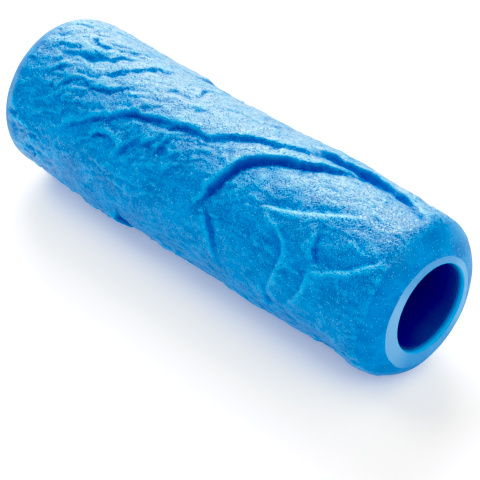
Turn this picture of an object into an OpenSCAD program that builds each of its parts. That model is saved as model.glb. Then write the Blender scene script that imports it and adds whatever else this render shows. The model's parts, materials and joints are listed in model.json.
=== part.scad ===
// Textured pattern roller sleeve: a cast polyurethane cover with a stone-cleft relief on a rigid core tube.
// The roller's axis is X and the origin is the middle of the bore. An angle is measured round the axis
// from the top (+Z) towards the front (-Y), so a place on the surface is [x, angle].

/* [Sleeve] */
// Overall length of the sleeve, face to face
sleeve_length = 228.6; // [200:0.1:260]
// Mean outer diameter over the stone relief
relief_diameter = 71.4; // [66:0.1:78]
// Outer diameter of the smooth collar at each end
collar_diameter = 71; // [66:0.1:76]
// Height of the relief, as a share of its full height
relief_share = 1; // [0:0.05:1.2]

/* [Ends] */
// Diameter of the flat ring that closes each end
face_diameter = 52; // [46:0.5:56]
// Axial length of the rounded shoulder at each end
shoulder_length = 13.5; // [8:0.5:18]
// Turn of the shoulder's ellipse where the flat face cuts it off
shoulder_turn = 66; // [50:1:85]
// Depth of the smooth collar at the right-hand end, face to relief
right_collar = 7.5; // [4:0.5:14]
// Depth of the smooth collar at the left-hand end, face to relief
left_collar = 11; // [4:0.5:14]

/* [Core] */
// Bore of the core tube, a clearance on a 38.1 mm roller cage
bore_diameter = 38.5; // [38.3:0.05:39]
// Wall of the core tube
core_wall = 1.5; // [1.2:0.1:2]
// Depth of each end of the core tube behind the cover's end face
core_recess = 3; // [1.2:0.2:4]
// Diameter of the cover's mouth in front of the core tube
mouth_diameter = 40; // [39.5:0.1:40.5]
// Chamfer round the mouth
mouth_chamfer = 1; // [0.2:0.2:1]

/* [Mesh] */
// Points round each ring of the relief
ring_points = 80; // [48:4:84]
// Rings along the relief, between the two shoulders
relief_rings = 44; // [24:1:46]
// Rings on each shoulder
shoulder_rings = 6; // [4:1:8]

/* [Hidden] */
$fn = 96;

half_length = sleeve_length / 2;
relief_radius = relief_diameter / 2;
collar_radius = collar_diameter / 2;
face_radius = face_diameter / 2;
mouth_radius = mouth_diameter / 2;
core_radius = bore_diameter / 2 + core_wall;
core_length = sleeve_length - 2 * core_recess;
barrel_end = half_length - shoulder_length;
cut = 1;
// Distance over which the relief fades into a collar
fade = 4;
// Length of relief under one degree of turn
arc = relief_radius * PI / 180;
// Half width of the steep part of a ledge
cliff = 1.6;

// Ledges of the split stone. Each is [reach on the high side, reach on the low side, points], and a point
// is [x, angle, height of the step]. The high side is on the left of someone who walks along the points
// on the outside of the roller.
LEDGES = [
    // Long crack from the left-hand end up to the top of the right-hand half
    [9, 6, [[-73, 68, 0], [-57, 51, 1.5], [-43, 37, 2.2], [-20, 25, 2], [0, 20, 2],
        [13, 8, 2], [28, -2, 1.6], [48, -21, 0]]],
    // Deepest ledge, from the front up and along the top
    [9, 9, [[10, 68, 0], [16, 52, 2.8], [20, 33, 3.6], [26, 17, 4.2], [36, 6, 4], [47, -2, 3.7],
        [55, -13, 2], [66, -22, 0.8], [72, -25, 0]]],
    // Its faint lower branch
    [7, 6, [[30, 100, 0], [23, 80, 1.6], [19, 70, 1.6], [16, 63, 0]]],
    // Broad step that takes over from the deepest ledge, up to the right-hand collar
    [16, 9, [[36, -16, 0], [50, -22, 3.2], [68, -26, 3.8], [78, -27, 3.4], [94, -19, 2], [108, -10, 0]]],
    // Crest that looks up, in the middle of the big plate
    [8, 8, [[86, 13, 0], [70, 26, 2.2], [56, 35, 2.4], [41, 42, 0]]],
    // Curved rim of the front bowl
    [9, 7, [[53, 48, 0], [60, 57, 2.2], [61, 70, 2], [57, 90, 1.1], [54, 98, 0]]],
    // Proud plate next to the right-hand collar
    [10, 7, [[106, 31, 0], [98, 44, 2.3], [88, 55, 2], [76, 63, 2], [75, 80, 1.7], [65, 101, 0]]],
    // Wavy ledges on the left-hand half
    [8, 6, [[-64, 21, 0], [-59, 10, 1.8], [-51, -3, 1.9], [-40, -18, 0]]],
    [6, 5, [[-81, 8, 0], [-68, 5, 1.8], [-58, -3, 0]]],
    [6, 6, [[-99, 24, 0], [-84, 14, 1.6], [-73, 9, 0]]],
    // Break in the upper outline
    [14, 10, [[-38, -28, 0], [-37, -46, 1.9], [-32, -62, 1.6], [-26, -78, 0]]],
    // Overhanging ledge low on the front
    [12, 8, [[-22, 176, 0], [-30, 156, 1.6], [-38, 136, 2.2], [-39, 124, 2.2], [-34, 106, 0]]],
    // Long ledges on the underside and the back
    [10, 8, [[104, 146, 0], [88, 154, 1.4], [66, 172, 1.8], [40, 184, 1.6], [12, 196, 1.8],
        [-16, 210, 1.6], [-38, 216, 0]]],
    [10, 8, [[-100, 158, 0], [-84, 170, 1.4], [-66, 184, 1.8], [-52, 202, 2], [-40, 226, 2],
        [-20, 240, 1.6], [4, 246, 0]]],
    [10, 9, [[-92, 238, 0], [-74, 250, 1.6], [-50, 254, 2], [-26, 264, 2.4], [-4, 268, 2.2],
        [20, 262, 1.6], [40, 250, 0]]],
    [9, 8, [[98, 196, 0], [84, 206, 1.4], [70, 222, 2], [58, 232, 2.2], [50, 248, 2],
        [54, 268, 1.6], [66, 284, 1.2], [84, 294, 0]]],
];

// Broad swells and hollows: [x, angle, length, width round the roller, height]
SWELLS = [
    [42, -52, 26, 24, 1],
    [-86, -46, 18, 20, 0.7],
    [-24, -44, 20, 18, -0.7],
    [18, -50, 16, 18, -0.6],
    [94, -50, 14, 20, -0.4],
    [84, 128, 9, 14, -1.4],
    [-98, 130, 8, 14, -0.6],
    [-10, 130, 8, 12, 0.6],
    [98, 128, 7, 14, 0.8],
    [-52, 130, 18, 14, 1.5],
    [38, 130, 12, 12, 0.7],
    [-56, 164, 14, 7, 1.3],
    [-56, 196, 14, 7, 1.3],
    [58, 164, 14, 7, 1.3],
    [58, 196, 14, 7, 1.3],
];

function smooth(k) = let (c = min(1, max(0, k))) c * c * (3 - 2 * c);

function mix(a, b, k) = a + (b - a) * k;

// tanh, for a step that is steep in its middle
function steep(k) = let (e = exp(-2 * abs(k))) sign(k) * (1 - e) / (1 + e);

// Turn an angle into the half circle on each side of a middle angle
function wrap_near(angle, middle) = middle + ((angle - middle + 540) % 360 - 180);

// [distance, side, step] of the nearest place on one stretch of a ledge, where side is 1 on the high side
function stretch_from(p, a, b) =
    let (
        from = [a[0], a[1] * arc],
        way = [b[0], b[1] * arc] - from,
        k = min(1, max(0, ((p - from) * way) / (way * way))),
        side = way[1] * (p[0] - from[0]) - way[0] * (p[1] - from[1])
    )
    [norm(p - from - k * way), sign(side), mix(a[2], b[2], k)];

function nearest(list, best, i = 0) =
    i == len(list) ? best : nearest(list, list[i][0] < best[0] ? list[i] : best, i + 1);

function ledge_height(x, angle, ledge) =
    let (
        line = ledge[2],
        middle = (line[0][1] + line[len(line) - 1][1]) / 2,
        p = [x, wrap_near(angle, middle) * arc],
        stretches = [for (i = [1:len(line) - 1]) stretch_from(p, line[i - 1], line[i])],
        best = nearest(stretches, stretches[0]),
        reach = best[1] > 0 ? ledge[0] : ledge[1]
    )
    best[2] / 2 * steep(best[1] * best[0] / cliff) * exp(-best[0] / reach);

function swell_height(x, angle, swell) =
    let (
        u = (x - swell[0]) / swell[2],
        v = (wrap_near(angle, swell[1]) - swell[1]) * arc / swell[3]
    )
    swell[4] * exp(-u * u - v * v);

function total(list, i = 0, sum = 0) = i == len(list) ? sum : total(list, i + 1, sum + list[i]);

// 1 over the relief and 0 on the collars
function relief_cover_share(x) =
    smooth((half_length - right_collar + fade / 2 - x) / fade)
    * smooth((half_length - left_collar + fade / 2 + x) / fade);

function relief_height(x, angle) =
    let (share = relief_cover_share(x))
    share == 0 ? 0 : share * (relief_radius - collar_radius + relief_share * (
        total([for (ledge = LEDGES) ledge_height(x, angle, ledge)])
        + total([for (swell = SWELLS) swell_height(x, angle, swell)])));

// [distance in from the face, radius] on the shoulder, whose turn is 0 at the barrel
function shoulder_point(turn) = [
    shoulder_length * (1 - sin(turn) / sin(shoulder_turn)),
    mix(collar_radius, face_radius, (1 - cos(turn)) / (1 - cos(shoulder_turn)))
];

// [x, radius without the relief] of every ring, from the left-hand face to the right-hand one
function ring_profile() =
    let (shoulder = [for (i = [1:shoulder_rings]) shoulder_point(shoulder_turn * i / shoulder_rings)])
    concat(
        [for (i = [shoulder_rings - 1:-1:0]) [shoulder[i][0] - half_length, shoulder[i][1]]],
        [for (i = [0:relief_rings]) [mix(-barrel_end, barrel_end, i / relief_rings), collar_radius]],
        [for (point = shoulder) [half_length - point[0], point[1]]]
    );

// Point j of a ring, at x
function ring_point(x, radius, j) =
    let (
        angle = 360 * j / ring_points,
        r = radius + relief_height(x, angle)
    )
    [x, -r * sin(angle), r * cos(angle)];

// Closed solid of the cover's outside, before it is bored
module relief_solid() {
    profile = ring_profile();
    last = len(profile) - 1;
    points = [for (ring = profile) for (j = [0:ring_points - 1]) ring_point(ring[0], ring[1], j)];
    sides = [
        for (i = [0:last - 1])
            for (j = [0:ring_points - 1])
                let (
                    next = (j + 1) % ring_points,
                    near_row = i * ring_points,
                    far_row = near_row + ring_points
                )
                each [
                    [near_row + j, far_row + j, far_row + next],
                    [near_row + j, far_row + next, near_row + next]
                ]
    ];
    left_face = [for (j = [0:ring_points - 1]) j];
    right_face = [for (j = [ring_points - 1:-1:0]) last * ring_points + j];
    polyhedron(points, concat(sides, [left_face, right_face]), convexity = 6);
}

// Cylinder along X, centred on the origin
module rod(radius, length) {
    rotate([0, 90, 0]) cylinder(r = radius, h = length, center = true);
}

// Cone that chamfers the mouth at one end; side is 1 or -1
module mouth_cone(side) {
    rotate([0, side * 90, 0])
        translate([0, 0, half_length - mouth_chamfer])
        cylinder(h = mouth_chamfer + cut, r1 = mouth_radius, r2 = mouth_radius + mouth_chamfer + cut);
}

module relief_cover() {
    color("dodgerblue")
    difference() {
        relief_solid();
        rod(mouth_radius, sleeve_length + 2 * cut);
        mouth_cone(1);
        mouth_cone(-1);
        rod(core_radius, core_length);
    }
}

module core_tube() {
    color("mediumblue")
    difference() {
        rod(core_radius, core_length);
        rod(bore_diameter / 2, core_length + 2 * cut);
    }
}

relief_cover();
core_tube();
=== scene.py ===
import json
import math

import bpy
import numpy as np
from mathutils import Matrix, Vector


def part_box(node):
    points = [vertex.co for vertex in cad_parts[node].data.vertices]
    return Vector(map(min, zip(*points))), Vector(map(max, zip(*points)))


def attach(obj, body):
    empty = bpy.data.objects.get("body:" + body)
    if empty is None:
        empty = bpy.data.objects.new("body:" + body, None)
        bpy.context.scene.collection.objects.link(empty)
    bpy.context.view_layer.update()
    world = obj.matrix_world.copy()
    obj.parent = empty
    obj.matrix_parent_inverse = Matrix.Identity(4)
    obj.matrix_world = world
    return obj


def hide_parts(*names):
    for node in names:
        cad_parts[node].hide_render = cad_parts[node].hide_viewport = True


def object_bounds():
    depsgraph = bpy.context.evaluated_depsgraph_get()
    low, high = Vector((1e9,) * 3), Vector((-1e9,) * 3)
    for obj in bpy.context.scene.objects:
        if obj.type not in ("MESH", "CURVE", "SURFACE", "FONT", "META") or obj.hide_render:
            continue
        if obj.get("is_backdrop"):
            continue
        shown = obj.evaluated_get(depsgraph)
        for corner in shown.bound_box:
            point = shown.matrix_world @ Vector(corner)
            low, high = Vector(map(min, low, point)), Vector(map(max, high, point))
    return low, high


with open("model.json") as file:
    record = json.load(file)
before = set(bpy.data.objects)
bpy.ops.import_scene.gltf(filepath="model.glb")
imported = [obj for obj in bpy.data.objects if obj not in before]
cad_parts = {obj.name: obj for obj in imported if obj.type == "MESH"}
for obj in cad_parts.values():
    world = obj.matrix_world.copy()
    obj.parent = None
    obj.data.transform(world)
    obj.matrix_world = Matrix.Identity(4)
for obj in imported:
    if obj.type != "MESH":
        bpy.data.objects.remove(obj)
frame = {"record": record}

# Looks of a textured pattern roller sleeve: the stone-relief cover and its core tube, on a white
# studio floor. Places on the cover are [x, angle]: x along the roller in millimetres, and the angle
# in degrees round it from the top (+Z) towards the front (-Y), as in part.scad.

cad_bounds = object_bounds()

# One millimetre, in metres
MM = 0.001
BODY = "root"

# Sizes read from the frame, in millimetres
HALF_LENGTH = (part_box("relief_cover")[1] / MM).x
CORE_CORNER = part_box("core_tube")[1] / MM
CORE_HALF_LENGTH = CORE_CORNER.x
CORE_RADIUS = CORE_CORNER.z
MOUNTS = {mount["name"]: mount for mount in frame["record"]["mounts"]}
BORE_RADIUS = MOUNTS["core_bore"]["dims"]["r_mm"]

# Shape of the cover, as in part.scad, in millimetres
RELIEF_RADIUS = 35.7
COLLAR_RADIUS = 35.5
FACE_RADIUS = 26.0
SHOULDER_LENGTH = 13.5
# Turn of the shoulder's ellipse where the flat face cuts it off, in degrees
SHOULDER_TURN = 66
MOUTH_RADIUS = 20.0
# Hand trimming of the flat face: how much it is smaller, how far it is off centre, and the waves of
# its rim as [height, waves round it]
FACE_LOSS = 0.7
FACE_OFFSET = 2.3
FACE_WAVES = [[0.15, 5], [0.1, 11]]
# Radius of the mouth's hand-rounded lip: the least, and what its widest side adds
LIP = (0.35, 1.0)
# Length of each smooth collar, and the length over which the relief fades out beside it
RIGHT_COLLAR, RIGHT_FADE = 7.5, 1.4
LEFT_COLLAR, LEFT_FADE = 11.0, 5.0
# Millimetres round the cover in one degree
ARC = RELIEF_RADIUS * math.pi / 180

# Meshes: points round the cover and the core, and rings along the cover
AROUND = 304
CORE_AROUND = 144
BARREL_RINGS = 264
SHOULDER_RINGS = 18
LIP_RINGS = 7
# Rings of the flat end face, as shares of the way from its rim to the mouth's lip
FACE_SHARES = (0.04, 0.35, 0.65, 0.96)

# Form of a crack and of a worn rim. brow and foot are the half width of the face above and below its
# line, and the third pair is the half width of the painted line along it, painted shade along a
# crack
# and painted highlight along a rim: a least width, and what each millimetre of step adds. groove is
# the depth of the groove at the foot.
CRACK = {"brow": (0.4, 0.4), "foot": (0.36, 0.28), "painted_line": (0.36, 0.24), "groove": 0.1}
RIM = {"brow": (0.3, 0.25), "foot": (0.4, 0.4), "painted_line": (0.4, 0.15), "groove": 0}
# The step at which the painted line along a ledge is full
FULL_PAINT_STEP = 3.6
# The step up to which a groove's depth grows with its square, and the groove's place and half width
GROOVE_STEP = 2.5
GROOVE_PLACE = 1.1
GROOVE_WIDTH = 1.2
# How far ledges wander off their lines in millimetres, how much their steps vary, and over what
# length
WANDER = 0.9
STEP_VARIES = 0.4
WANDER_SIZE = 9

# Split layers of the stone that run along the roller: how many round it, the height of one layer's
# edge and the part of a layer that the edge takes
LAYERS = 26
LAYER_RISE = 1.1
LAYER_EDGE = 0.11
# Turn of the layers along the roller: [x, degrees]
LAYER_TURN = [[-115, -76], [5, 0], [40, 12], [115, 22]]

# Fine relief between the ledges, in millimetres: wrinkles, the level and depth of the crumble, and
# the mottle, which is on the smooth places too
WRINKLES = 0.4
CRUMBLE_LEVEL, CRUMBLE_DEPTH = 0.3, 0.95
MOTTLE = 0.09

# Ledges of the split stone: [reach on the high side, reach on the low side, points], each point
# being [x, angle, height of the step]. The high side is on the left of someone walking along the
# points.
LEDGES = [
    # Long crack from the left-hand end up to the top of the right-hand half
    [9, 6, [[-73, 68, 0], [-66, 61, 1], [-57, 51, 1.7], [-49, 45, 2], [-43, 37, 2.4],
        [-38, 32, 2.4], [-29, 29.5, 2.2], [-20, 25, 2], [-10, 22.5, 2.1], [0, 20.5, 2.2],
        [6, 14, 2.2], [13, 8, 2.2], [20, 2, 2], [28, -2, 1.6], [37, -8, 1.4], [43, -15, 0.8],
        [48, -21, 0]]],
    # Deepest ledge, from the front up and along the top
    [9, 9, [[10, 68, 0], [14, 60, 1.7], [16, 52, 2.8], [18, 42, 3.2], [20.5, 32, 3.6],
        [23, 24, 3.9], [26, 17, 4.2], [30, 11.5, 4.2], [36, 6, 4], [42, 2, 3.9], [47, -2, 3.7],
        [51, -8, 3], [55, -13, 2], [60, -18, 1.4], [66, -22, 0.8], [72, -25, 0]]],
    # Its faint lower branch
    [7, 6, [[30, 100, 0], [26, 91, 1], [23, 80, 1.8], [19.5, 70, 1.8], [16, 63, 0]]],
    # Broad step that takes over from the deepest ledge, up to the right-hand collar
    [16, 9, [[36, -16, 0], [44, -19, 2], [50, -22, 3.2], [58, -24, 3.8], [68, -26, 3.8],
        [78, -27, 3.4], [86, -24, 2.8], [94, -19, 2], [101, -14, 1.4], [108, -10, 0]]],
    # Short cliff between the bowl and the proud plate
    [6, 6, [[77, 59, 0], [76, 54, 1.8], [74.5, 50, 1.8], [74, 44, 1.5], [72.5, 38, 0.8],
        [70, 34, 0]]],
    # Wavy ledges on the left-hand half
    [8, 6, [[-64, 21, 0], [-61.5, 15, 1.2], [-59, 10, 1.3], [-55, 4, 1.3], [-51, -3, 1.3],
        [-48, -9, 1.1], [-44, -15, 0.5], [-40, -18, 0]]],
    [6, 5, [[-81, 8, 0], [-74, 7, 1.1], [-68, 5.5, 1.3], [-65, -1, 1.3], [-61, -3.5, 1.2],
        [-58, -3, 0]]],
    [6, 6, [[-99, 24, 0], [-91, 18.5, 0.9], [-84, 14, 1.1], [-77, 12, 0.8], [-73, 9, 0]]],
    [4, 4, [[-98, 19, 0], [-94, 14, 0.9], [-90, 11.5, 0.8], [-87, 9, 0]]],
    [4, 4, [[-99, 6, 0], [-96, 3, 0.9], [-92, 4, 0.6], [-90, 7, 0]]],
    [5, 5, [[-73, -5, 0], [-67, -8, 0.9], [-63, -13, 0.9], [-58, -14, 0]]],
    [4, 4, [[-60, -11, 0], [-56, -11.5, 0.8], [-52, -13, 0]]],
    [6, 6, [[-71, 33, 0], [-63, 30, 0.9], [-56, 27.5, 1], [-51, 22, 1], [-47, 17, 0]]],
    # Little breaks on the top
    [5, 5, [[-21, -4, 0], [-22.5, -10, 1.2], [-24, -16, 1.2], [-22, -22, 0.9], [-17, -28, 0]]],
    [4, 4, [[-37, 4, 0], [-30, 1.5, 0.8], [-25, 0, 0.8], [-21, -2, 0]]],
    [4, 4, [[-20, 7, 0], [-15, 5, 0.8], [-10, 3, 0.6], [-5, 5, 0]]],
    # Short grooves under the long crack
    [5, 4, [[-19, 51, 0], [-17.5, 44, 2], [-15.5, 37, 2], [-13, 31, 0]]],
    [5, 4, [[-27, 52, 0], [-23.5, 46, 2], [-20.5, 40, 1.7], [-19, 33, 0]]],
    [5, 5, [[-38, 65, 0], [-35, 58, 2], [-32, 51, 1.7], [-28, 45, 0]]],
    [5, 5, [[-53, 63, 0], [-49, 57.5, 1.7], [-43, 54.5, 2], [-39, 55.5, 1.4], [-36, 60, 0]]],
    # Low break at the front of the bowl
    [6, 6, [[54, 113, 0], [56, 104, 1], [55, 97, 0.9], [52, 89, 0]]],
    # Break in the upper outline
    [14, 10, [[-38, -28, 0], [-37, -46, 1.9], [-32, -62, 1.6], [-26, -78, 0]]],
    # Overhanging ledge low on the front
    [12, 8, [[-22, 176, 0], [-30, 156, 1.6], [-38, 136, 2.2], [-39, 124, 2.2], [-34, 106, 0]]],
    # Long ledges on the underside and the back
    [10, 8, [[104, 146, 0], [88, 154, 1.4], [66, 172, 1.8], [40, 184, 1.6], [12, 196, 1.8],
        [-16, 210, 1.6], [-38, 216, 0]]],
    [10, 8, [[-100, 158, 0], [-84, 170, 1.4], [-66, 184, 1.8], [-52, 202, 2], [-40, 226, 2],
        [-20, 240, 1.6], [4, 246, 0]]],
    [10, 9, [[-92, 238, 0], [-74, 250, 1.6], [-50, 254, 2], [-26, 264, 2.4], [-4, 268, 2.2],
        [20, 262, 1.6], [40, 250, 0]]],
    [9, 8, [[98, 196, 0], [84, 206, 1.4], [70, 222, 2], [58, 232, 2.2], [50, 248, 2],
        [54, 268, 1.6], [66, 284, 1.2], [84, 294, 0]]],
]

# Worn ledges that look up, in the same form, with no groove at the foot
RIMS = [
    # Crest that looks up, in the middle of the big plate
    [8, 8, [[86, 13, 0], [77, 20, 1.6], [70, 26, 2.2], [64, 30, 2.4], [56, 35, 2.4], [48, 39, 1.8],
        [41, 42.5, 0]]],
    # Curved rim of the front bowl
    [5, 5, [[60, 56, 0], [56, 50.5, 1], [50, 46, 1.2], [43, 43, 0]]],
    [9, 7, [[50, 47, 0], [56, 51, 1.4], [60, 57, 2.2], [61.5, 64, 2.2], [60.5, 72, 2],
        [59, 81, 1.6], [57, 90, 1.1], [54, 99, 0]]],
    # Proud plate next to the right-hand collar
    [10, 7, [[106, 31, 0], [102, 38, 1.8], [98, 44, 2.3], [94, 50, 2.2], [88, 55, 2],
        [82, 60, 2], [76, 63.5, 2], [75.5, 72, 1.9], [74.5, 80, 1.7], [72, 87, 1.3],
        [68, 95, 0.9], [65, 101, 0]]],
    [3, 3, [[88, 53, 0], [83, 56, 0.6], [77, 58.5, 0.8], [74, 60, 0]]],
    # Low ripples in the cell above that plate
    [4, 4, [[101, 36, 0], [95, 35, 0.6], [88, 32.5, 0.8], [81, 33, 0]]],
    [4, 4, [[104, 28, 0], [99, 27.5, 0.6], [94, 28.5, 0]]],
    [4, 4, [[102, 36, 0], [100, 31, 0.5], [95, 28, 0]]],
    # Thin seam near the left-hand collar
    [2, 2.5, [[-74, 90, 0], [-80, 86, 0.7], [-85, 81, 0.7], [-91, 80, 0.7], [-96, 77, 0.7],
        [-100, 70, 0.6], [-102, 65, 0]]],
]

# Broad swells and hollows: [x, angle, length, width round the roller, height]
SWELLS = [
    [42, -52, 26, 24, 1],
    [-86, -46, 18, 20, 0.7],
    [-24, -44, 20, 18, -0.7],
    [18, -50, 16, 18, -0.6],
    [94, -50, 14, 20, -0.4],
    [84, 128, 9, 14, -1.4],
    [-98, 130, 8, 14, -0.6],
    [-10, 130, 8, 12, 0.6],
    [98, 128, 7, 14, 0.8],
    [-52, 130, 18, 14, 1.5],
    [38, 130, 12, 12, 0.7],
    [-56, 164, 14, 7, 1.3],
    [-56, 196, 14, 7, 1.3],
    [58, 164, 14, 7, 1.3],
    [58, 196, 14, 7, 1.3],
]

# Roughness of the stone, and the places where it is rougher: [x, angle, length, width, amount]
PLAIN_ROUGHNESS = 0.45
ROUGH_PATCHES = [
    [-82, 8, 24, 22, 0.55],
    [-35, 48, 34, 15, 0.9],
    [-88, 95, 14, 14, 0.8],
    [62, 8, 36, 14, -0.12],
    [5, 100, 55, 18, -0.2],
    [-60, 70, 40, 10, -0.2],
    [97, 39, 9, 7, -0.3],
    [-50, 134, 60, 9, 0.8],
    [50, 134, 50, 9, 0.6],
    [-20, -56, 90, 8, 0.3],
    [-20, 200, 60, 40, 0.4],
    [30, 280, 60, 30, 0.4],
]


# ---------------------------------------------------------------- relief

def smooth(share):
    """0 up to a share of 0, 1 from a share of 1, and an eased rise between them."""
    share = np.clip(share, 0, 1)
    return share * share * (3 - 2 * share)


def wrap_near(angle, middle):
    """The same angle in degrees, within half a turn of middle."""
    return middle + (angle - middle + 180) % 360 - 180


class Noise:
    """Gradient noise in three dimensions, about -1 to 1, the same on every run."""

    TABLE = 256

    def __init__(self, seed):
        rng = np.random.default_rng(seed)
        self.order = np.concatenate([rng.permutation(self.TABLE)] * 3)
        way = rng.normal(size=(self.TABLE, 3))
        self.ways = way / np.linalg.norm(way, axis=1, keepdims=True)

    def __call__(self, places):
        cell = np.floor(places).astype(int)
        inside = places - cell
        cell %= self.TABLE
        ease = inside ** 3 * (inside * (inside * 6 - 15) + 10)
        out = 0.0
        for corner in np.ndindex(2, 2, 2):
            corner = np.array(corner)
            at = (cell + corner) % self.TABLE
            pick = self.order[self.order[self.order[at[..., 0]] + at[..., 1]] + at[..., 2]]
            slope = (self.ways[pick % self.TABLE] * (inside - corner)).sum(-1)
            out = out + slope * np.where(corner, ease, 1 - ease).prod(-1)
        return out * 1.6


NOISE = Noise(seed=7)


def fractal(places, size, octaves, fade=0.5):
    """Sum of octaves of noise; size is that of the widest features, in the units of the places."""
    out, weight = 0.0, 1.0
    for octave in range(octaves):
        shift = 17.3 * (octave + 1)
        out = out + weight * NOISE(places * 2 ** octave / size + shift)
        weight *= fade
    return out


def ledge_height(x, angle, ledge, form, vary):
    """Height that one ledge adds, and the strength of its painted line: shade for a crack, highlight
    for a rim.

    The height is steep across the line, and fades away on both sides. vary scales the step."""
    high_reach, low_reach, line = ledge
    line = np.array(line, float)
    middle = line[[0, -1], 1].mean()
    at = np.stack([x, wrap_near(angle, middle) * ARC], -1)
    knots = line[:, :2] * [1, ARC]
    best = np.full(x.shape, np.inf)
    side = np.zeros(x.shape)
    step = np.zeros(x.shape)
    for a, b, step_a, step_b in zip(knots, knots[1:], line[:, 2], line[1:, 2]):
        way = b - a
        span = np.hypot(*way)
        along = np.clip(((at - a) @ way) / span ** 2, 0, 1)
        offset = at - a - along[..., None] * way
        distance = np.hypot(offset[..., 0], offset[..., 1])
        across = (way[1] * (at[..., 0] - a[0]) - way[0] * (at[..., 1] - a[1])) / span
        # At a corner the stretch that sees the place more squarely decides the side
        rank = distance - 1e-3 * abs(across)
        closer = rank < best
        best = np.where(closer, rank, best)
        side = np.where(closer, np.sign(across), side)
        step = np.where(closer, step_a + (step_b - step_a) * along, step)
    step = step * vary
    high = side > 0
    best = np.maximum(best, 0)
    (brow, brow_growth), (foot, foot_growth) = form["brow"], form["foot"]
    face = np.where(high, brow + brow_growth * step, foot + foot_growth * step)
    reach = np.where(high, high_reach, low_reach)
    groove = np.exp(-((side * best + GROOVE_PLACE) / GROOVE_WIDTH) ** 2)
    groove *= form["groove"] * step * np.minimum(step, GROOVE_STEP)
    height = step / 2 * np.tanh(side * best / face) * np.exp(-best / reach) - groove
    # The second value is the strength of the painted line along the ledge
    least, growth = form["painted_line"]
    return height, step / FULL_PAINT_STEP * np.exp(-(best / (least + growth * step)) ** 2)


def swell(x, angle, row):
    """Smooth round hill of one row, as long and as wide as the row says."""
    middle_x, middle_angle, length, width, height = row
    u = (x - middle_x) / length
    v = (wrap_near(angle, middle_angle) - middle_angle) * ARC / width
    return height * np.exp(-u * u - v * v)


def layers(x, angle, wander, strength):
    """Shingle-like split layers: each rises slowly down the front, and its edge faces down it."""
    turn = angle + np.interp(x, *np.transpose(LAYER_TURN))
    place = (turn / 360 * LAYERS + wander) % 1
    edge = smooth((place - 1) / LAYER_EDGE + 1)
    return LAYER_RISE * strength * (place - edge - 0.5)


def relief_share(x, angle):
    """1 over the relief and 0 on the smooth collars, with a slightly wavy border."""
    turn = np.radians(angle)
    wave = 1.2 * np.sin(2 * turn + 0.6) + 0.7 * np.sin(5 * turn + 2)
    right = smooth((HALF_LENGTH - RIGHT_COLLAR + wave - x) / RIGHT_FADE + 0.5)
    left = smooth((HALF_LENGTH - LEFT_COLLAR + wave + x) / LEFT_FADE + 0.5)
    return right * left


def stone_places(x, angle, stretch=1.0, follow=0.0):
    """Places in space for noise, stretched along the roller.

    follow is the share of the layers' turn that they turn by."""
    turn = np.radians(angle + follow * np.interp(x, *np.transpose(LAYER_TURN)))
    return np.stack([x * stretch, -RELIEF_RADIUS * np.sin(turn), RELIEF_RADIUS * np.cos(turn)], -1)


def stone_relief(x, angle):
    """Height over the collar's radius in millimetres, the painted shade along the cracks and the
    painted highlight along the rims.

    The numbers added to the places only keep the patterns of the noise apart."""
    places = stone_places(x, angle)
    warp_x = WANDER * fractal(places + 40, WANDER_SIZE, 3)
    warp_angle = WANDER * fractal(places + 90, WANDER_SIZE, 3) / ARC
    vary = np.clip(1 + STEP_VARIES * fractal(places + 150, WANDER_SIZE, 3), 0.4, 1.6)
    cracks = [ledge_height(x + warp_x, angle + warp_angle, row, CRACK, vary) for row in LEDGES]
    rims = [ledge_height(x + warp_x / 2, angle + warp_angle / 2, row, RIM, vary) for row in RIMS]
    ledges, crack_shade = np.sum(cracks, axis=0)
    rims, rim_highlight = np.sum(rims, axis=0)
    swells = sum(swell(x, angle, row) for row in SWELLS)
    roughness = PLAIN_ROUGHNESS + sum(swell(x, angle, row) for row in ROUGH_PATCHES)
    # The fine relief is drawn out along the layers
    flow = stone_places(x + 2 * warp_x, angle + 2 * warp_angle, stretch=0.5, follow=1.0)
    wander = 1.1 * fractal(flow, 15, 4, 0.55)
    strength = smooth(1.2 * fractal(flow + 60, 13, 2) + 0.45)
    wrinkles = WRINKLES * fractal(flow + 200, 4.4, 3, 0.55)
    crumble = CRUMBLE_LEVEL - CRUMBLE_DEPTH * abs(fractal(flow + 260, 6, 3))
    mottle = MOTTLE * fractal(places + 300, 2.2, 2, 0.6)
    fine = roughness * (layers(x, angle, wander, strength) + wrinkles + crumble) + mottle
    return RELIEF_RADIUS - COLLAR_RADIUS + ledges + rims + swells + fine, crack_shade, rim_highlight


def crests(height, reach):
    """How far each place stands over its surroundings, within about reach steps of the grid."""
    mean = height
    for _ in range(2 * reach * reach):
        mean = (np.roll(mean, 1, 1) + np.roll(mean, -1, 1) + 2 * mean) / 4
        beside = np.pad(mean, ((1, 1), (0, 0)), mode="edge")
        mean = (beside[:-2] + beside[2:] + 2 * mean) / 4
    return height - mean


# ---------------------------------------------------------------- meshes

def rings_to_mesh(name, rings):
    """Closed mesh through rings of equal length; the last ring joins back to the first."""
    count, around = rings.shape[:2]
    row = np.arange(count)[:, None] * around
    next_row = (np.arange(count)[:, None] + 1) % count * around
    j = np.arange(around)[None, :]
    next_j = (j + 1) % around
    quads = np.stack([row + j, row + next_j, next_row + next_j, next_row + j], -1).reshape(-1, 4)
    mesh = bpy.data.meshes.new(name)
    mesh.from_pydata(rings.reshape(-1, 3).tolist(), [], quads.tolist())
    mesh.validate()
    mesh.update()
    piece = bpy.data.objects.new(name, mesh)
    bpy.context.scene.collection.objects.link(piece)
    mesh.shade_smooth()
    return piece


def ring(x, radius, angles):
    """One ring of points, in metres; x and radius may change round it."""
    turn = np.radians(angles)
    x = np.broadcast_to(x, turn.shape)
    return MM * np.stack([x, -radius * np.sin(turn), radius * np.cos(turn)], -1)


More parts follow.
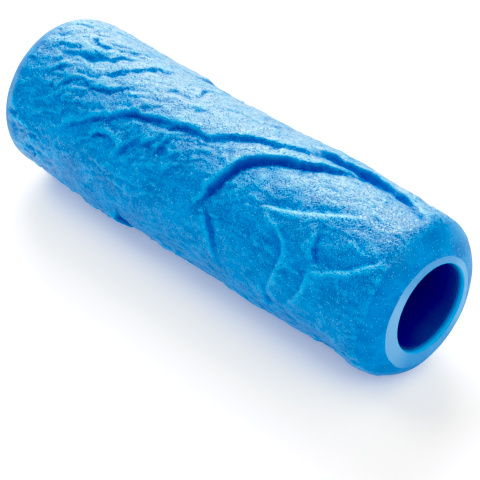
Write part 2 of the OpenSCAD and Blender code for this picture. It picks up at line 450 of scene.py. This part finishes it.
def shoulder_profile():
    """[share of the shoulder's length, share of its drop], from the barrel to the flat face."""
    turn = np.radians(np.linspace(0, SHOULDER_TURN, SHOULDER_RINGS + 1)[1:])
    along, drop = np.sin(turn), 1 - np.cos(turn)
    return np.stack([along / along[-1], drop / drop[-1]], -1)


def make_end(side, angles, face_angle, lip_angle):
    """Rings of one end, from the shoulder to the core's seat, and how much of each is trimmed face,
    which takes a painted reflection.

    side is 1 or -1. The face is trimmed by hand: it is wider towards face_angle, its rim waves a
    little, and the mouth's lip is wider towards lip_angle."""
    face_radius = FACE_RADIUS - FACE_LOSS + FACE_OFFSET * np.cos(np.radians(angles - face_angle))
    for height, waves in FACE_WAVES:
        face_radius = face_radius + height * np.sin(np.radians(waves * angles))
    lip = LIP[0] + LIP[1] * (1 + np.cos(np.radians(angles - lip_angle))) / 2
    rings, trimmed = [], []
    for along, drop in shoulder_profile():
        x = HALF_LENGTH - SHOULDER_LENGTH * (1 - along)
        rings.append(ring(side * x, COLLAR_RADIUS - (COLLAR_RADIUS - face_radius) * drop, angles))
        trimmed.append(0)
    for share in FACE_SHARES:
        radius = face_radius + (MOUTH_RADIUS + lip - face_radius) * share
        rings.append(ring(side * HALF_LENGTH, radius, angles))
        trimmed.append(1)
    # The face's pale painted reflection fades out quickly as the lip turns inwards
    for turn in np.radians(np.linspace(0, 90, LIP_RINGS)):
        x = HALF_LENGTH - lip * (1 - math.cos(turn))
        rings.append(ring(side * x, MOUTH_RADIUS + lip * (1 - math.sin(turn)), angles))
        trimmed.append(math.cos(turn) ** 6)
    rings.append(ring(side * CORE_HALF_LENGTH, MOUTH_RADIUS, angles))
    rings.append(ring(side * CORE_HALF_LENGTH, CORE_RADIUS, angles))
    trimmed += [0, 0]
    return np.array(rings), np.array(trimmed)


def make_cover():
    """The cover: one closed mesh, with the values that its material reads at each point."""
    angles = np.arange(AROUND) * 360 / AROUND
    barrel_end = HALF_LENGTH - SHOULDER_LENGTH
    barrel_places = np.linspace(-barrel_end, barrel_end, BARREL_RINGS + 1)
    barrel = np.array([ring(x, COLLAR_RADIUS, angles) for x in barrel_places])
    right, trimmed = make_end(1, angles, face_angle=112, lip_angle=225)
    left, _ = make_end(-1, angles, face_angle=250, lip_angle=60)
    rings = [left[:SHOULDER_RINGS][::-1], barrel, right, left[SHOULDER_RINGS:][::-1]]
    rings = np.concatenate(rings)
    # Push the outside out along its radius by the relief
    skin = rings[:2 * SHOULDER_RINGS + BARREL_RINGS + 1]
    x, angle = skin[..., 0] / MM, np.broadcast_to(angles, skin.shape[:2])
    share = relief_share(x, angle)
    radius = np.hypot(skin[..., 1], skin[..., 2])
    height, crack_shade, rim_highlight = share * np.array(stone_relief(x, angle))
    skin[..., 1:] *= (1 + MM * height / radius)[..., None]
    cover = rings_to_mesh("stone_relief_cover", rings)
    add_attribute(cover, "grain", rings, share)
    # crest sets the painted highlight on crests and the painted shade in hollows
    add_attribute(cover, "crest", rings, crests(height, 3) + 1.5 * crests(height, 1))
    # Painted shade along the cracks
    add_attribute(cover, "crack", rings, crack_shade)
    # Painted highlight along the rims
    add_attribute(cover, "rim", rings, rim_highlight)
    untrimmed = np.zeros(SHOULDER_RINGS + len(barrel))
    trim_and_reflection = np.concatenate([untrimmed, trimmed, trimmed[SHOULDER_RINGS:][::-1]])
    # Painted reflection: the end faces are paler at the front and the back, less so at the top and
    # bottom
    painted_reflection = 0.35 + 0.65 * smooth(0.5 - 0.7 * np.cos(np.radians(2 * angles)))
    add_attribute(cover, "trim_and_reflection", rings, trim_and_reflection[:, None] * painted_reflection)
    # Painted light on the mouth's inner wall, where the trimmed face ends
    inside = np.where(np.arange(len(rings)) < len(skin), 0, 1 - trim_and_reflection)
    add_attribute(cover, "mouth", rings, np.broadcast_to(inside[:, None], rings.shape[:2]))
    return cover


def add_attribute(piece, name, rings, first_values):
    """A value for each point of the first rings, which the material reads; 0 on the others."""
    values = np.zeros(rings.shape[:2], np.float32)
    values[:len(first_values)] = first_values
    piece.data.attributes.new(name, "FLOAT", "POINT").data.foreach_set("value", values.ravel())


def make_core():
    """The liner tube, with its ends eased; its outside stays a hair off the cover's seat."""
    angles = np.arange(CORE_AROUND) * 360 / CORE_AROUND
    gap, ease = 0.02, 0.25
    outer, inner, end = CORE_RADIUS - gap, BORE_RADIUS, CORE_HALF_LENGTH
    half = [[end - ease, outer], [end, outer - ease], [end, inner + ease], [end - ease, inner]]
    profile = [[-px, pr] for px, pr in half[1::-1]]
    profile += half
    profile += [[-px, pr] for px, pr in half[:1:-1]]
    profile = profile[1:] + profile[:1]
    rings = np.array([ring(px, pr, angles) for px, pr in profile])
    return rings_to_mesh("core_tube_liner", rings)


# ---------------------------------------------------------------- materials

class Nodes:
    """Short way to write a material's nodes."""

    def __init__(self, name):
        self.material = bpy.data.materials.new(name)
        self.material.use_nodes = True
        self.tree = self.material.node_tree
        self.shader = self.tree.nodes["Principled BSDF"]

    def add(self, kind, **settings):
        node = self.tree.nodes.new(kind)
        for key, value in settings.items():
            setattr(node, key, value)
        return node

    def link(self, source, target):
        self.tree.links.new(source, target)

    def place(self):
        return self.add("ShaderNodeTexCoord").outputs["Object"]

    def attribute(self, name):
        return self.add("ShaderNodeAttribute", attribute_name=name).outputs["Fac"]

    def upward(self):
        """1 where the surface looks straight up, -1 where it looks down."""
        parts = self.add("ShaderNodeSeparateXYZ")
        self.link(self.add("ShaderNodeNewGeometry").outputs["Normal"], parts.inputs[0])
        return parts.outputs["Z"]

    def noise(self, place, size, detail=2, roughness=0.5, stretch=(1, 1, 1)):
        """Noise whose features are about size millimetres across."""
        mapping = self.add("ShaderNodeMapping")
        mapping.inputs["Scale"].default_value = [s / (size * MM) for s in stretch]
        self.link(place, mapping.inputs["Vector"])
        node = self.add("ShaderNodeTexNoise")
        node.inputs["Scale"].default_value = 1
        node.inputs["Detail"].default_value = detail
        node.inputs["Roughness"].default_value = roughness
        self.link(mapping.outputs["Vector"], node.inputs["Vector"])
        return node.outputs["Fac"]

    def glint_spots(self, place, spacing, size, share):
        """1 in small round spots on a random share of the cells of a pattern, 0 elsewhere."""
        mapping = self.add("ShaderNodeMapping")
        mapping.inputs["Scale"].default_value = [1 / (spacing * MM)] * 3
        self.link(place, mapping.inputs["Vector"])
        cells = self.add("ShaderNodeTexVoronoi")
        cells.inputs["Scale"].default_value = 1
        self.link(mapping.outputs["Vector"], cells.inputs["Vector"])
        spot = self.ramp(cells.outputs["Distance"], size / spacing, size / spacing * 0.4)
        pick = self.ramp(cells.outputs["Color"], 1 - share, 1 - share + 0.02)
        return self.times(spot, pick)

    def ramp(self, value, low, high, out_low=0.0, out_high=1.0):
        """out_low where value is low, out_high where it is high, and in proportion between them."""
        node = self.add("ShaderNodeMapRange")
        node.inputs["From Min"].default_value = low
        node.inputs["From Max"].default_value = high
        node.inputs["To Min"].default_value = out_low
        node.inputs["To Max"].default_value = out_high
        self.link(value, node.inputs["Value"])
        return node.outputs["Result"]

    def math(self, operation, a, b):
        node = self.add("ShaderNodeMath", operation=operation)
        for socket, value in zip(node.inputs, (a, b)):
            if isinstance(value, (int, float)):
                socket.default_value = value
            else:
                self.link(value, socket)
        return node.outputs["Value"]

    def times(self, a, b):
        return self.math("MULTIPLY", a, b)

    def mix(self, share, a, b):
        """Colour between a and b; each is a colour or an output."""
        node = self.add("ShaderNodeMix", data_type="RGBA")
        self.link(share, node.inputs["Factor"])
        # Inputs 6 and 7 and output 2 are the node's colours
        for socket, value in ((node.inputs[6], a), (node.inputs[7], b)):
            if isinstance(value, tuple):
                socket.default_value = (*value, 1)
            else:
                self.link(value, socket)
        return node.outputs[2]

    def bump(self, height, depth, under=None):
        """Normal of a surface raised by height times depth millimetres."""
        node = self.add("ShaderNodeBump")
        node.inputs["Strength"].default_value = 1
        node.inputs["Distance"].default_value = depth * MM
        self.link(height, node.inputs["Height"])
        if under is not None:
            self.link(under, node.inputs["Normal"])
        return node.outputs["Normal"]


# Colours of the cast polyurethane, and of the light and shade painted on it
AZURE = (0.001, 0.195, 0.54)
DEEP_AZURE = (0.001, 0.13, 0.41)
# Painted shade, in hollows and along the cracks
PAINTED_SHADE_AZURE = (0.0005, 0.06, 0.28)
# Painted highlight on crests
CREST_HIGHLIGHT_AZURE = (0.004, 0.3, 0.68)
# Pale sand grains, with painted highlight where the relief looks up
LIT_GRAIN_AZURE = (0.01, 0.31, 0.7)
# Painted highlight along the worn rims
RIM_HIGHLIGHT_AZURE = (0.02, 0.38, 0.78)
# Pores between the grains, darkened as painted shade
SHADED_PORE_AZURE = (0.0005, 0.09, 0.31)
# Painted reflection on the trimmed end faces
TRIM_REFLECTION_AZURE = (0.11, 0.31, 0.62)
# Painted light on the mouth's inner wall
MOUTH_LIGHT_AZURE = (0.003, 0.33, 0.76)
# Painted glints, in small spots
PAINTED_GLINT = (0.2, 0.55, 0.9)
SHINE_TINT = (0.9, 1, 0.92, 1)

# Two near colours of the core's plastic, in streaks along the tube: its blue, darkened to navy as
# painted shade deep in the bore
CORE_SHADED_BLUE = (0.0006, 0.038, 0.16)
CORE_SHADED_STREAK = (0.0007, 0.044, 0.18)

# Size of the cover's sand and of the coarser grit, and how deep each is, in millimetres
SAND_SIZE, SAND_DEPTH = 0.6, 0.38
GRIT_SIZE, GRIT_DEPTH = 1.4, 0.25


def polyurethane():
    """Sandy azure polyurethane.

    Its attributes come from make_cover: grain is 1 on the relief and 0 on the smooth collars, crest
    is how far a place stands proud, and crack, rim, trim and mouth are 1 where those are. crest sets
    painted highlight on crests and painted shade in hollows, crack painted shade along the cracks,
    rim painted highlight along the rims, trim a painted reflection on the trimmed faces, and mouth
    painted light on the mouth's inner wall."""
    nodes = Nodes("cast_polyurethane")
    place = nodes.place()
    grain, crest, crack = (nodes.attribute(name) for name in ("grain", "crest", "crack"))
    rim, trim_and_reflection, mouth = (nodes.attribute(name) for name in ("rim", "trim_and_reflection", "mouth"))
    upward = nodes.upward()
    clouds = nodes.noise(place, 10, 3, 0.65)
    sand = nodes.noise(place, SAND_SIZE, 1)
    grit = nodes.noise(place, GRIT_SIZE, 2, 0.6)

    # Sand: pale grains with darker, duller pores between them, grain of the cast that is made
    # strongest where the relief looks up, which is painted light: brighter grains and darker pores
    # where the light from above falls
    sand_and_top_light = nodes.times(nodes.ramp(grain, 0, 1, 0.35, 1), nodes.ramp(crack, 0.1, 0.8, 1, 0.6))
    sand_and_top_light = nodes.times(sand_and_top_light, nodes.ramp(upward, 0.35, 0.95, 0.5, 1))
    lit_grains = nodes.times(nodes.ramp(sand, 0.52, 0.75), sand_and_top_light)
    shaded_pores = nodes.times(nodes.ramp(sand, 0.48, 0.32), sand_and_top_light)

    # Colour: clouds, then painted highlight on crests and painted shade in hollows, the sand, and on
    # top
    # the painted lines, glints and light: highlight on rims, shade along cracks, a reflection on the
    # trimmed ends and light in the mouth
    colour = nodes.mix(nodes.ramp(clouds, 0.4, 0.6), DEEP_AZURE, AZURE)
    # Painted highlight on crests, then painted shade in hollows
    colour = nodes.mix(nodes.ramp(crest, 0.05, 0.5), colour, CREST_HIGHLIGHT_AZURE)
    colour = nodes.mix(nodes.ramp(crest, -0.35, -1.5), colour, PAINTED_SHADE_AZURE)
    # Painted highlight along the rims
    colour = nodes.mix(nodes.ramp(rim, 0, 0.6, 0, 0.9), colour, RIM_HIGHLIGHT_AZURE)
    colour = nodes.mix(lit_grains, colour, LIT_GRAIN_AZURE)
    colour = nodes.mix(shaded_pores, colour, SHADED_PORE_AZURE)
    # Painted glints in small spots
    colour = nodes.mix(nodes.glint_spots(place, 0.85, 0.22, 0.45), colour, PAINTED_GLINT)
    # Painted shade along the cracks
    colour = nodes.mix(nodes.ramp(crack, 0.05, 1, 0, 0.85), colour, PAINTED_SHADE_AZURE)
    # Painted reflection on the trimmed end faces
    colour = nodes.mix(trim_and_reflection, colour, TRIM_REFLECTION_AZURE)
    # Painted light on the mouth's inner wall
    colour = nodes.mix(mouth, colour, MOUTH_LIGHT_AZURE)
    nodes.link(colour, nodes.shader.inputs["Base Color"])

    # The collars and shoulders are duller than the sand and the trimmed faces
    plain = nodes.ramp(nodes.math("MAXIMUM", grain, trim_and_reflection), 0, 1, 0.52, 0.3)
    dull = nodes.math("MAXIMUM", plain, nodes.ramp(shaded_pores, 0, 1, 0.3, 0.6))
    nodes.link(dull, nodes.shader.inputs["Roughness"])

    # Crests and places that look up shine most; pores, hollows and cracks least
    shine = nodes.times(nodes.ramp(crest, -0.8, 0.1, 0.1, 0.75), nodes.ramp(shaded_pores, 0, 1, 1, 0.08))
    shine = nodes.times(shine, nodes.ramp(upward, 0.35, 0.95, 0.7, 1.55))
    shine = nodes.times(shine, nodes.ramp(crack, 0.02, 0.5, 1, 0.2))
    nodes.link(shine, nodes.shader.inputs["Specular IOR Level"])
    nodes.shader.inputs["Specular Tint"].default_value = SHINE_TINT

    # Grit and sand stand out most on the relief, less on the collars and least on the trimmed faces
    raised = nodes.times(nodes.ramp(nodes.math("SUBTRACT", grain, trim_and_reflection), -1, 1), sand_and_top_light)
    normal = nodes.bump(nodes.times(grit, raised), GRIT_DEPTH)
    normal = nodes.bump(nodes.times(sand, raised), SAND_DEPTH, under=normal)
    nodes.link(normal, nodes.shader.inputs["Normal"])
    return nodes.material


def core_plastic():
    """Dark blue satin plastic, made dark as painted shade deep in the bore, with faint streaks
    drawn out along the tube.
    """
    nodes = Nodes("core_plastic")
    drawn = nodes.noise(nodes.place(), 1.2, 2, stretch=(0.03, 1, 1))
    colour = nodes.mix(nodes.ramp(drawn, 0.3, 0.7), CORE_SHADED_BLUE, CORE_SHADED_STREAK)
    nodes.link(colour, nodes.shader.inputs["Base Color"])
    nodes.link(nodes.ramp(drawn, 0.3, 0.7, 0.45, 0.6), nodes.shader.inputs["Roughness"])
    nodes.shader.inputs["Specular IOR Level"].default_value = 0.25
    nodes.link(nodes.bump(drawn, 0.02), nodes.shader.inputs["Normal"])
    return nodes.material


# The white floor: two near whites, and its own radiance, as a sheet lit a little from below as well
PAPER = (0.9, 0.9, 0.9)
PAPER_PALE = (0.92, 0.92, 0.92)
FLOOR_GLOW = 0.25
FLOOR_GLOW_COLOUR = (1, 0.93, 1.08, 1)


def white_paper():
    nodes = Nodes("white_floor")
    faint = nodes.ramp(nodes.noise(nodes.place(), 60, 2), 0.3, 0.7)
    nodes.link(nodes.mix(faint, PAPER, PAPER_PALE), nodes.shader.inputs["Base Color"])
    nodes.shader.inputs["Roughness"].default_value = 0.8
    nodes.shader.inputs["Emission Color"].default_value = FLOOR_GLOW_COLOUR
    nodes.shader.inputs["Emission Strength"].default_value = FLOOR_GLOW
    return nodes.material


# ---------------------------------------------------------------- studio

# Camera at the photograph's viewing angle: its place in metres, the directions to its right and up,
# and its lens and sensor in millimetres
CAMERA_PLACE = (0.5690, -0.5695, 0.6076)
CAMERA_RIGHT = (0.71141, 0.70278, 0)
CAMERA_UP = (-0.43566, 0.44101, 0.78467)
CAMERA_LENS = 176.3
CAMERA_SENSOR = 36

# Half the side of the floor, in metres
FLOOR_REACH = 2


def make_camera():
    data = bpy.data.cameras.new("camera")
    data.lens = CAMERA_LENS
    data.sensor_width = CAMERA_SENSOR
    data.clip_start = 0.01
    data.clip_end = 50
    camera = bpy.data.objects.new("camera", data)
    bpy.context.scene.collection.objects.link(camera)
    right = Vector(CAMERA_RIGHT).normalized()
    up = Vector(CAMERA_UP).normalized()
    back = right.cross(up)
    turn = Matrix((right, up, back)).transposed().to_4x4()
    camera.matrix_world = Matrix.Translation(CAMERA_PLACE) @ turn
    bpy.context.scene.camera = camera


def make_floor(height):
    """Square floor at a height in metres."""
    mesh = bpy.data.meshes.new("floor")
    signs = [(-1, -1), (1, -1), (1, 1), (-1, 1)]
    corners = [(FLOOR_REACH * x, FLOOR_REACH * y, height) for x, y in signs]
    mesh.from_pydata(corners, [], [(0, 1, 2, 3)])
    floor = bpy.data.objects.new("floor", mesh)
    bpy.context.scene.collection.objects.link(floor)
    mesh.materials.append(white_paper())
    floor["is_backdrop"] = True


def area_light(name, place, size, power):
    """Rectangular light at a place, aimed at the middle of the roller."""
    data = bpy.data.lights.new(name, "AREA")
    data.shape = "RECTANGLE"
    data.size, data.size_y = size
    data.energy = power
    light = bpy.data.objects.new(name, data)
    bpy.context.scene.collection.objects.link(light)
    turn = (-Vector(place)).to_track_quat("-Z", "Y").to_matrix().to_4x4()
    light.matrix_world = Matrix.Translation(place) @ turn


# Softboxes: name, direction from the roller in degrees (turn from +X towards +Y, then height), size
# in metres and power in watts. All stand at the same distance, in metres.
SOFTBOXES = [
    ("softbox_back", 135, 24, (1.4, 0.9), 42),
    ("softbox_back_high", 137, 44, (1.2, 0.8), 30),
    ("softbox_left", 200, 50, (1.2, 0.9), 22),
    ("softbox_front", 290, 42, (1.6, 1.1), 11),
    ("softbox_right", 0, 42, (1.6, 1.1), 18),
    ("softbox_right_high", 45, 62, (1.6, 1.1), 14),
]
SOFTBOX_DISTANCE = 2.2

# Radiance of the white surroundings at the horizon and above it, and the sines of the heights
# between which it falls
HORIZON_LEVEL = 1.45
SKY_LEVEL = 0.14
HORIZON_HEIGHTS = (0.08, 0.16)

# Display curve: soft in the highlights, with the black point of a bright product picture
BLACK_LEVEL = (0.085, 0.034, 0)
WHITE_LEVEL = 1.4
TONE_CURVE = [(0.18, 0.25), (0.37, 0.5), (0.66, 0.8)]
# Blue runs into white a little later than the other two
BLUE_CURVE = [(0.62, 0.61), (0.9, 0.835)]


def make_softboxes():
    for name, turn, height, size, power in SOFTBOXES:
        turn, height = math.radians(turn), math.radians(height)
        level = math.cos(height)
        way = Vector((math.cos(turn) * level, math.sin(turn) * level, math.sin(height)))
        area_light(name, way * SOFTBOX_DISTANCE, size, power)


def make_surroundings():
    world = bpy.data.worlds.new("studio")
    bpy.context.scene.world = world
    world.use_nodes = True
    tree = world.node_tree
    way = tree.nodes.new("ShaderNodeTexCoord").outputs["Generated"]
    parts = tree.nodes.new("ShaderNodeSeparateXYZ")
    tree.links.new(way, parts.inputs["Vector"])
    level = tree.nodes.new("ShaderNodeMapRange")
    level.interpolation_type = "SMOOTHSTEP"
    level.inputs["From Min"].default_value, level.inputs["From Max"].default_value = HORIZON_HEIGHTS
    level.inputs["To Min"].default_value = HORIZON_LEVEL
    level.inputs["To Max"].default_value = SKY_LEVEL
    tree.links.new(parts.outputs["Z"], level.inputs["Value"])
    tree.links.new(level.outputs["Result"], tree.nodes["Background"].inputs["Strength"])
    tree.nodes["Background"].inputs["Color"].default_value = (1, 1, 1, 1)


def set_exposure():
    view = bpy.context.scene.view_settings
    view.view_transform = "Standard"
    view.use_curve_mapping = True
    mapping = view.curve_mapping
    mapping.black_level = BLACK_LEVEL
    mapping.white_level = [WHITE_LEVEL] * 3
    # Curve 3 is for all three colours together, and curve 2 for blue
    for curve, points in ((mapping.curves[3], TONE_CURVE), (mapping.curves[2], BLUE_CURVE)):
        for place, shown in points:
            curve.points.new(place, shown)
    mapping.update()


# ---------------------------------------------------------------- build

make_camera()

cover = make_cover()
cover.data.materials.append(polyurethane())
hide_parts("relief_cover")
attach(cover, BODY)

core = make_core()
core.data.materials.append(core_plastic())
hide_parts("core_tube")
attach(core, BODY)

make_floor(min(cad_bounds[0][2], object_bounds()[0][2]))
make_surroundings()
make_softboxes()
set_exposure()
